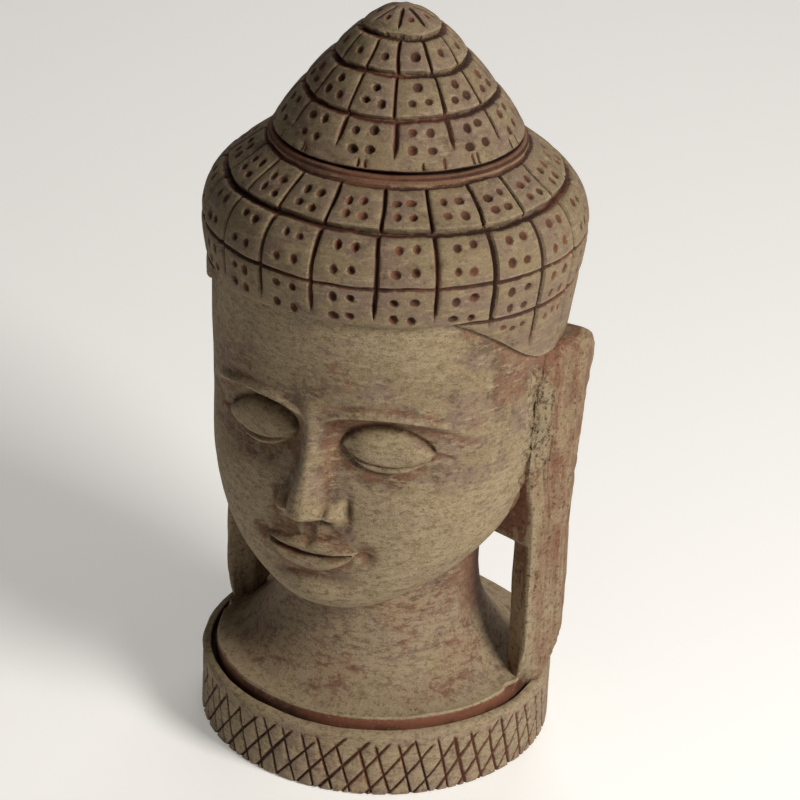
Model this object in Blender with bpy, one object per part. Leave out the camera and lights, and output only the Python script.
"""A carved stone Buddha head on a low round stand, all cut from one block.

The face looks along -Y and +Z is up. The origin is the middle of the underside of the stand.
All sizes are in metres and all angles in degrees. A bearing is the angle round the upright
axis, from the face (-Y) towards the figure's left (+X).
"""

import math

import bmesh
import bpy

# Stand
STAND_HEIGHT = 0.0185
STAND_RADIUS = 0.0472
RIM_WIDTH = 0.0024
HATCH_COUNT = 52
HATCH_HEIGHT = 0.0165
HATCH_DEPTH = 0.0008
HATCH_HALF_WIDTH = 0.00055
STEEP_LEAN = 0.0045
SHALLOW_LEAN = 0.0131

# Neck and shoulder
GROOVE_WIDTH = 0.0015
LIP_RADIUS = STAND_RADIUS - RIM_WIDTH - GROOVE_WIDTH
LIP_RISE = 0.0030
GROOVE_DEPTH = 0.0016
NECK_RADIUS = 0.0264
NECK_BASE = 0.0460
NECK_TOP = 0.0720
NECK_COLUMNS = HATCH_COUNT

# Head, from the chin to the hairline
CHIN_HEIGHT = 0.0480
HAIRLINE_HEIGHT = 0.1342
FACE_HEIGHT = HAIRLINE_HEIGHT - CHIN_HEIGHT
LEFT_HALF_WIDTH = 0.0440
RIGHT_HALF_WIDTH = 0.0462
HEAD_FRONT = 0.0420
FOREHEAD_SWELL = 0.0037
HEAD_BACK = 0.0445
JAW_RISE = 0.0150
HEAD_TOP = 0.1400
HEAD_SHOULDER = 0.1362

# Hair: each ring groove has a radius and a height
HAIR_THICKNESS = 0.0014
HAIR_ROOT = 0.0050
HAIR_DIP = 0.0165
CONE_TILES = 12
CONE_TURN = -7.5
CONE_RINGS = ((0.0100, 0.1953), (0.0166, 0.1882), (0.0241, 0.1796), (0.0314, 0.1690))
TOP_HEIGHT = 0.2000
BRIM_TILES = 20
BRIM_TURN = 1.5
BRIM_RINGS = ((0.0330, 0.1656), (0.0426, 0.1580), (0.0488, 0.1452), (0.0476, 0.1347))
CONE_SWELL = 0.0003
BRIM_SWELL = 0.0008
LONG_ROW = 0.0130
RING_HALF_WIDTH = 0.0010
RING_DEPTH = 0.0014
CUT_HALF_WIDTH = 0.00075
CUT_DEPTH = 0.0010
BEAD_RADIUS = 0.0014
UNCUT = (0.0, 0.0)

# The figure's right ear is hollowed more than its left
RIGHT_EAR_HOLLOW = 0.0026
RIGHT_EAR_WAIST = 0.0820

# Ear sections: height, front edge, back edge, outer face, inner face
EAR_SECTIONS = (
    (0.0150, -0.0010, 0.0040, 0.0452, 0.0400),
    (0.0205, -0.0030, 0.0078, 0.0470, 0.0385),
    (0.0245, -0.0036, 0.0120, 0.0484, 0.0380),
    (0.0320, -0.0040, 0.0140, 0.0493, 0.0376),
    (0.0470, -0.0042, 0.0136, 0.0495, 0.0374),
    (0.0560, -0.0042, 0.0134, 0.0495, 0.0368),
    (0.0588, -0.0042, 0.0134, 0.0495, 0.0345),
    (0.0606, -0.0042, 0.0134, 0.0495, 0.0305),
    (0.0640, -0.0043, 0.0135, 0.0495, 0.0290),
    (0.0800, -0.0046, 0.0146, 0.0498, 0.0330),
    (0.0980, -0.0050, 0.0168, 0.0503, 0.0360),
    (0.1090, -0.0050, 0.0185, 0.0508, 0.0380),
    (0.1145, -0.0044, 0.0183, 0.0510, 0.0395),
    (0.1172, -0.0030, 0.0165, 0.0504, 0.0410),
    (0.1185, -0.0008, 0.0135, 0.0488, 0.0415),
)


def smooth(start, end, value):
    """0 up to the start, 1 from the end on, and an even curve between; the start may be the larger."""
    share = min(1.0, max(0.0, (value - start) / (end - start)))
    return share * share * (3.0 - 2.0 * share)


def hump(value, middle, spread):
    """A bell curve of height 1."""
    return math.exp(-(((value - middle) / spread) ** 2))


def at_bearing(bearing, radius, height):
    angle = math.radians(bearing)
    return (radius * math.sin(angle), -radius * math.cos(angle), height)


def mesh_object(name, points, faces):
    """A mesh of flat triangles, because the joins below need every face to be flat."""
    mesh = bpy.data.meshes.new(name)
    mesh.from_pydata(points, [], faces)
    flat = bmesh.new()
    flat.from_mesh(mesh)
    bmesh.ops.triangulate(flat, faces=flat.faces[:])
    flat.to_mesh(mesh)
    flat.free()
    piece = bpy.data.objects.new(name, mesh)
    bpy.context.scene.collection.objects.link(piece)
    return piece


def lofted(name, rings):
    """A closed solid through rings of points that run from bottom to top, each with as many points."""
    count = len(rings[0])
    points = [point for ring in rings for point in ring]
    faces = []
    for lower in range(len(rings) - 1):
        for step in range(count):
            a = lower * count + step
            b = lower * count + (step + 1) % count
            faces.append((a, b, b + count, a + count))
    faces.append(tuple(reversed(range(count))))
    last = (len(rings) - 1) * count
    faces.append(tuple(range(last, last + count)))
    return mesh_object(name, points, faces)


# Face. Its places are shares of the face's height, in the usual thirds.


def face_relief(across, height):
    """How far the face stands out from the plain head, at a distance across and a height.

    The numbers inside are in units of which the face is 86 high, from chin to hairline.
    """
    unit = FACE_HEIGHT / 86.0
    x = abs(across) / unit
    z = (height - CHIN_HEIGHT) / unit
    brow = 60.5 - 0.016 * (x - 16.0) ** 2
    relief = 1.2 * hump(z, brow, 2.4) * smooth(34.0, 22.0, x) * smooth(1.0, 6.0, x)
    relief -= 3.6 * hump(x, 18.0, 11.5) * smooth(brow, brow - 4.0, z) * smooth(36.0, 50.0, z)
    relief -= 2.4 * hump(x, 8.0, 4.0) * hump(z, 52.0, 6.0)
    lid = 1.0 - ((x - 17.8) / 10.6) ** 2 - ((z - 49.6) / 5.6) ** 2
    relief += 3.0 * math.sqrt(max(0.0, lid))
    bridge = smooth(28.5, 33.0, z) * (1.0 - smooth(52.0, 66.0, z))
    ridge = 1.6 + 5.2 * (1.0 - smooth(30.0, 62.0, z))
    relief += ridge * bridge * hump(x, 0.0, 3.2 + 2.4 * (1.0 - smooth(32.0, 50.0, z)))
    relief += 3.2 * hump(x, 6.2, 2.8) * hump(z, 32.6, 3.2)
    relief += 1.8 * hump(x, 22.0, 13.0) * hump(z, 32.0, 13.0)
    mouth = max(0.0, 1.0 - (x / 14.0) ** 2)
    relief += 2.2 * mouth * hump(z, 21.7, 2.4)
    relief += 2.5 * mouth * hump(z, 16.6, 2.7)
    relief -= 1.8 * hump(x, 0.0, 12.0) * hump(z, 19.3, 1.1)
    relief -= 0.9 * hump(x, 15.5, 2.6) * hump(z, 19.5, 3.0)
    relief -= 1.2 * hump(x, 0.0, 10.0) * hump(z, 11.0, 2.6)
    relief += 1.6 * hump(x, 0.0, 9.0) * hump(z, 5.5, 4.5)
    return relief * unit


def jaw_height(bearing):
    """The underside of the jaw rises from the chin to below the ears, and drops again to the nape."""
    return CHIN_HEIGHT + JAW_RISE * math.sin(math.radians(bearing)) ** 2


def head_radius(bearing, height):
    angle = math.radians(bearing)
    facing = math.cos(angle)
    swell = FOREHEAD_SWELL * smooth(CHIN_HEIGHT + 0.5 * FACE_HEIGHT, HAIRLINE_HEIGHT, height)
    length = HEAD_FRONT + swell if facing > 0.0 else HEAD_BACK
    width = LEFT_HALF_WIDTH if math.sin(angle) > 0.0 else RIGHT_HALF_WIDTH
    plain = 1.0 / math.hypot(math.sin(angle) / width, facing / length)
    turned = math.sin(angle / 2.0) ** 2
    above = max(0.0, height - jaw_height(bearing))
    taper = (0.17 + 0.22 * turned) * math.exp(-above / (0.0045 + 0.0130 * turned))
    radius = plain * (1.0 - taper)
    if facing > 0.2:
        fade = smooth(0.2, 0.45, facing)
        radius += fade * face_relief(radius * math.sin(angle), height)
    return radius


def head_bearings():
    """Columns close together over the face and far apart behind the ears."""
    face = [3.0 * step for step in range(-12, 13)]
    cheek = [41.0, 46.0, 52.0, 59.0]
    back = [67.0, 76.0, 87.0, 101.0, 118.0, 137.0, 158.0]
    side = cheek + back
    return [-bearing for bearing in reversed(side)] + face + side + [180.0]


HEAD_LEVELS = (0.03, 0.08, 0.12, 0.155, 0.19, 0.22, 0.25, 0.285, 0.33, 0.36, 0.40, 0.45, 0.50,
               0.535, 0.575, 0.615, 0.65, 0.68, 0.72, 0.82, 0.99)


def level_height(bearing, share):
    """Height of a level of the head: true levels over the face, and following the jaw behind it."""
    along_jaw = jaw_height(bearing) + (HEAD_SHOULDER - jaw_height(bearing)) * share
    over_face = CHIN_HEIGHT + FACE_HEIGHT * share
    facing = smooth(-0.2, 0.3, math.cos(math.radians(bearing)))
    return along_jaw + (over_face - along_jaw) * facing * smooth(0.04, 0.30, share)


def make_head():
    bearings = head_bearings()
    rings = [[at_bearing(b, 0.62 * NECK_RADIUS, jaw_height(b) + 0.006) for b in bearings]]
    underside = []
    for bearing in bearings:
        height = jaw_height(bearing)
        underside.append(at_bearing(bearing, 0.93 * head_radius(bearing, height), height - 0.0004))
    rings.append(underside)
    for share in HEAD_LEVELS:
        level = []
        for bearing in bearings:
            height = level_height(bearing, share)
            level.append(at_bearing(bearing, head_radius(bearing, height), height))
        rings.append(level)
    rings.append([at_bearing(b, 0.8 * LEFT_HALF_WIDTH, HEAD_TOP) for b in bearings])
    return lofted("head_shape", rings)


# Stand, shoulder and neck


def make_stand():
    """The drum with its two families of slanting cuts, the groove round the shoulder, and the neck."""
    pitch = 360.0 / HATCH_COUNT
    levels = 3
    lean_unit = math.degrees(1.0 / STAND_RADIUS)
    steep = STEEP_LEAN / (STEEP_LEAN + SHALLOW_LEAN) * levels * pitch
    shallow = SHALLOW_LEAN / (STEEP_LEAN + SHALLOW_LEAN) * levels * pitch
    points = []
    faces = []

    def add(bearing, radius, height):
        points.append(at_bearing(bearing, radius, height))
        return len(points) - 1

    def crossing_bearing(column, level):
        return column * pitch + shallow * level / levels

    crossings = []
    for level in range(levels + 1):
        height = HATCH_HEIGHT * level / levels
        ring = []
        for column in range(HATCH_COUNT):
            bearing = crossing_bearing(column, level)
            ring.append(add(bearing, STAND_RADIUS - HATCH_DEPTH, height))
        crossings.append(ring)

    wide = HATCH_HALF_WIDTH * lean_unit * 1.15
    tall = HATCH_HALF_WIDTH * 3.0
    step_up = HATCH_HEIGHT / levels

    def cross(level, column):
        return crossings[level][column % HATCH_COUNT]

    bottom = []
    top = []
    for column in range(HATCH_COUNT):
        for level in range(levels - 1):
            low = crossing_bearing(column, level)
            left = low - steep / levels
            right = low + shallow / levels
            high = left + shallow / levels
            base = HATCH_HEIGHT * level / levels
            ring = (cross(level, column), cross(level + 1, column),
                    cross(level + 2, column - 1), cross(level + 1, column - 1))
            inner = (add(low, STAND_RADIUS, base + tall),
                     add(right - wide, STAND_RADIUS, base + step_up),
                     add(high, STAND_RADIUS, base + 2 * step_up - tall),
                     add(left + wide, STAND_RADIUS, base + step_up))
            for corner in range(4):
                after = (corner + 1) % 4
                faces.append((ring[corner], ring[after], inner[after], inner[corner]))
            faces.append(inner)
        low = crossing_bearing(column, 0)
        apex = low + shallow / levels
        inner = (add(low + wide, STAND_RADIUS, 0.0),
                 add(low + pitch - wide, STAND_RADIUS, 0.0),
                 add(apex, STAND_RADIUS, step_up - tall))
        ring = (cross(0, column), cross(0, column + 1), cross(1, column))
        faces.append((ring[1], ring[2], inner[2], inner[1]))
        faces.append((ring[2], ring[0], inner[0], inner[2]))
        faces.append(inner)
        bottom += [ring[0], inner[0], inner[1]]
        high = crossing_bearing(column, levels)
        apex = high + pitch - shallow / levels
        inner = (add(apex, STAND_RADIUS, HATCH_HEIGHT - step_up + tall),
                 add(high + pitch - wide, STAND_RADIUS, HATCH_HEIGHT),
                 add(high + wide, STAND_RADIUS, HATCH_HEIGHT))
        ring = (cross(levels - 1, column + 1), cross(levels, column + 1), cross(levels, column))
        faces.append((ring[2], ring[0], inner[0], inner[2]))
        faces.append((ring[0], ring[1], inner[1], inner[0]))
        faces.append(inner)
        top.append((ring[2], inner[2], inner[1]))
    faces.append(tuple(reversed(bottom)))

    first = crossing_bearing(0, levels) + pitch / 2.0
    rim = [add(first + column * pitch, STAND_RADIUS - 0.0005, STAND_HEIGHT) for column in range(HATCH_COUNT)]
    for column in range(HATCH_COUNT):
        after = (column + 1) % HATCH_COUNT
        start, left, right = top[column]
        following = top[after]
        faces.append((left, right, rim[column]))
        faces.append((right, following[0], rim[column]))
        faces.append((following[0], rim[after], rim[column]))
        faces.append((following[0], following[1], rim[after]))

    below = rim
    for radius, height in shoulder_profile():
        ring = [add(first + column * pitch, radius, height) for column in range(NECK_COLUMNS)]
        for column in range(NECK_COLUMNS):
            after = (column + 1) % NECK_COLUMNS
            faces.append((below[column], below[after], ring[after], ring[column]))
        below = ring
    faces.append(tuple(below))
    return mesh_object("buddha_head", points, faces)


def shoulder_profile():
    """Radius and height from the groove inside the stand's rim, over the shoulder and up the neck."""
    lip_height = STAND_HEIGHT + LIP_RISE
    groove_outer = STAND_RADIUS - RIM_WIDTH
    profile = [
        (groove_outer, STAND_HEIGHT + 0.0002),
        ((groove_outer + LIP_RADIUS) / 2.0, STAND_HEIGHT - GROOVE_DEPTH),
        (LIP_RADIUS, lip_height),
    ]
    steps = 4
    for step in range(1, steps + 1):
        turn = math.radians(90.0 * step / steps)
        radius = LIP_RADIUS - (LIP_RADIUS - NECK_RADIUS) * math.sin(turn)
        height = lip_height + (NECK_BASE - lip_height) * (1.0 - math.cos(turn))
        profile.append((radius, height))
    profile.append((NECK_RADIUS, NECK_TOP))
    return profile


# Hair


def row_points(upper, lower, swell):
    """One row of tiles between two ring grooves: its top edge, its middle and its bottom edge."""
    run = (lower[0] - upper[0], lower[1] - upper[1])
    length = math.hypot(*run)
    along = (run[0] / length, run[1] / length)
    out = (-along[1], along[0])
    edge = RING_HALF_WIDTH
    first = (upper[0] + along[0] * edge, upper[1] + along[1] * edge, out)
    last = (lower[0] - along[0] * edge, lower[1] - along[1] * edge, out)
    if length < LONG_ROW:
        return [first, last]
    middle = ((upper[0] + lower[0]) / 2 + out[0] * swell, (upper[1] + lower[1]) / 2 + out[1] * swell, out)
    return [first, middle, last]


def tile_columns(tiles, turn):
    """Bearing of each column of points, how far it is shifted along the ring, and whether it lies in a cut."""
    pitch = 360.0 / tiles
    columns = []
    for tile in range(tiles):
        start = turn + tile * pitch
        columns.append((start, 0.0, True))
        columns.append((start, CUT_HALF_WIDTH, False))
        columns.append((start + pitch / 2.0, 0.0, False))
        columns.append((start + pitch, -CUT_HALF_WIDTH, False))
    return columns


def tile_ring(columns, radius, height, out, sunk):
    ring = []
    for bearing, shift, in_cut in columns:
        depth = max(CUT_DEPTH if in_cut else 0.0, sunk)
        turned = bearing + math.degrees(shift / radius)
        ring.append(at_bearing(turned, radius - out[0] * depth, height - out[1] * depth))
    return ring


def make_cone():
    """The topknot: rings of tiles from its lower edge up to the tip."""
    columns = tile_columns(CONE_TILES, CONE_TURN)
    down = []
    tip = (0.0030, TOP_HEIGHT)
    first = CONE_RINGS[0]
    down.append((*tip, (0.2, 1.0), 0.0))
    down.append((first[0] - 0.0012, first[1] + 0.0014, (0.6, 0.8), 0.0))
    for upper, lower in zip(CONE_RINGS[:-1], CONE_RINGS[1:]):
        points = row_points(upper, lower, CONE_SWELL)
        out = points[0][2]
        down.append((upper[0], upper[1], out, RING_DEPTH))
        down += [(*point, 0.0) for point in points]
    last = CONE_RINGS[-1]
    down.append((last[0] - 0.0016, last[1] - 0.0020, UNCUT, 0.0))
    rings = [tile_ring(columns, *level) for level in reversed(down)]
    rings.insert(0, [at_bearing(bearing, 0.020, BRIM_RINGS[0][1] - 0.004) for bearing, _, _ in columns])
    return lofted("cone_shape", rings)


def hair_edge(bearing):
    """Height of the hair's lower edge: level over the forehead, dipping to the ears and level behind them."""
    turned = abs((bearing + 180.0) % 360.0 - 180.0)
    return HAIRLINE_HEIGHT - HAIR_DIP * smooth(42.0, 86.0, turned)


def make_brim():
    """The hair round the head: rows of tiles, the bead under the cone, and the lower edge over the face."""
    columns = tile_columns(BRIM_TILES, BRIM_TURN)
    inner_radius, inner_height = BRIM_RINGS[0]
    bead = inner_radius - 0.0020
    down = [
        (0.0200, inner_height + 0.0020, UNCUT, 0.0),
        (bead, inner_height + 0.0012 + BEAD_RADIUS * 0.6, UNCUT, 0.0),
        (inner_radius - 0.0006, inner_height - 0.0012, UNCUT, 0.0),
    ]
    for number, (upper, lower) in enumerate(zip(BRIM_RINGS[:-1], BRIM_RINGS[1:])):
        points = row_points(upper, lower, BRIM_SWELL)
        if number > 0:
            down.append((upper[0], upper[1], points[0][2], RING_DEPTH))
        down += [(*point, 0.0) for point in points]
    rings = [tile_ring(columns, *level) for level in down]
    last = BRIM_RINGS[-1]
    groove = []
    under_groove = []
    edge = []
    underside = []
    for bearing, shift, in_cut in columns:
        turned = bearing + math.degrees(shift / last[0])
        low = hair_edge(turned)
        drop = last[1] - low
        sunk = max(CUT_DEPTH if in_cut else 0.0, RING_DEPTH * smooth(0.001, 0.004, drop))
        groove.append(at_bearing(turned, last[0] - sunk, last[1] - 0.1 * drop))
        skin = head_radius(turned, low) + HAIR_THICKNESS
        cut = 0.7 * CUT_DEPTH if in_cut else 0.0
        upper_skin = last[0] + (skin - last[0]) * 0.25
        under_groove.append(at_bearing(turned, upper_skin - cut, last[1] - 0.1 * drop - min(RING_HALF_WIDTH, 0.4 * drop)))
        edge.append(at_bearing(turned, skin - 0.5 * cut, low))
        underside.append(at_bearing(turned, skin - HAIR_ROOT, low + 0.4 * HAIR_ROOT))
    rings += [groove, under_groove, edge, underside]
    rings.append([at_bearing(b, 0.0200, HEAD_TOP - 0.008) for b, _, _ in columns])
    rings.reverse()
    return lofted("brim_shape", rings)


# Ears


def make_ear(side):
    """A long flat ear; side is 1 for the figure's left and -1 for its right."""
    rings = []
    for height, front, back, outer, inner in EAR_SECTIONS:
        if side < 0:
            outer -= RIGHT_EAR_HOLLOW * hump(height, RIGHT_EAR_WAIST, 0.022)
        depth = outer - inner
        section = [
            (inner, front + 0.30 * (back - front)),
            (outer - 0.45 * depth, front),
            (outer - 0.06 * depth, front + 0.0004),
            (outer + 0.0004, (front + back) / 2.0),
            (outer - 0.12 * depth, back),
            (inner + 0.30 * depth, back + 0.0004),
            (inner, back - 0.0010),
        ]
        if side < 0:
            section.reverse()
        rings.append([(side * x, y, height) for x, y in section])
    return lofted("ear_shape_left" if side > 0 else "ear_shape_right", rings)


def join(base, other):
    """Adds another closed shape to the base, and keeps that shape as a hidden helper."""
    union = base.modifiers.new("join_" + other.name, "BOOLEAN")
    union.operation = "UNION"
    union.solver = "EXACT"
    union.object = other
    other.hide_render = True
    other.display_type = "WIRE"


def stone():
    material = bpy.data.materials.new("painted_stone")
    material.use_nodes = True
    shader = material.node_tree.nodes["Principled BSDF"]
    shader.inputs["Base Color"].default_value = (0.25, 0.19, 0.115, 1.0)
    shader.inputs["Roughness"].default_value = 0.8
    shader.inputs["Metallic"].default_value = 0.0
    return material


def main():
    for old in list(bpy.data.objects):
        bpy.data.objects.remove(old, do_unlink=True)
    carving = make_stand()
    carving.data.materials.append(stone())
    for shape in (make_head(), make_brim(), make_cone(), make_ear(1), make_ear(-1)):
        join(carving, shape)


main()
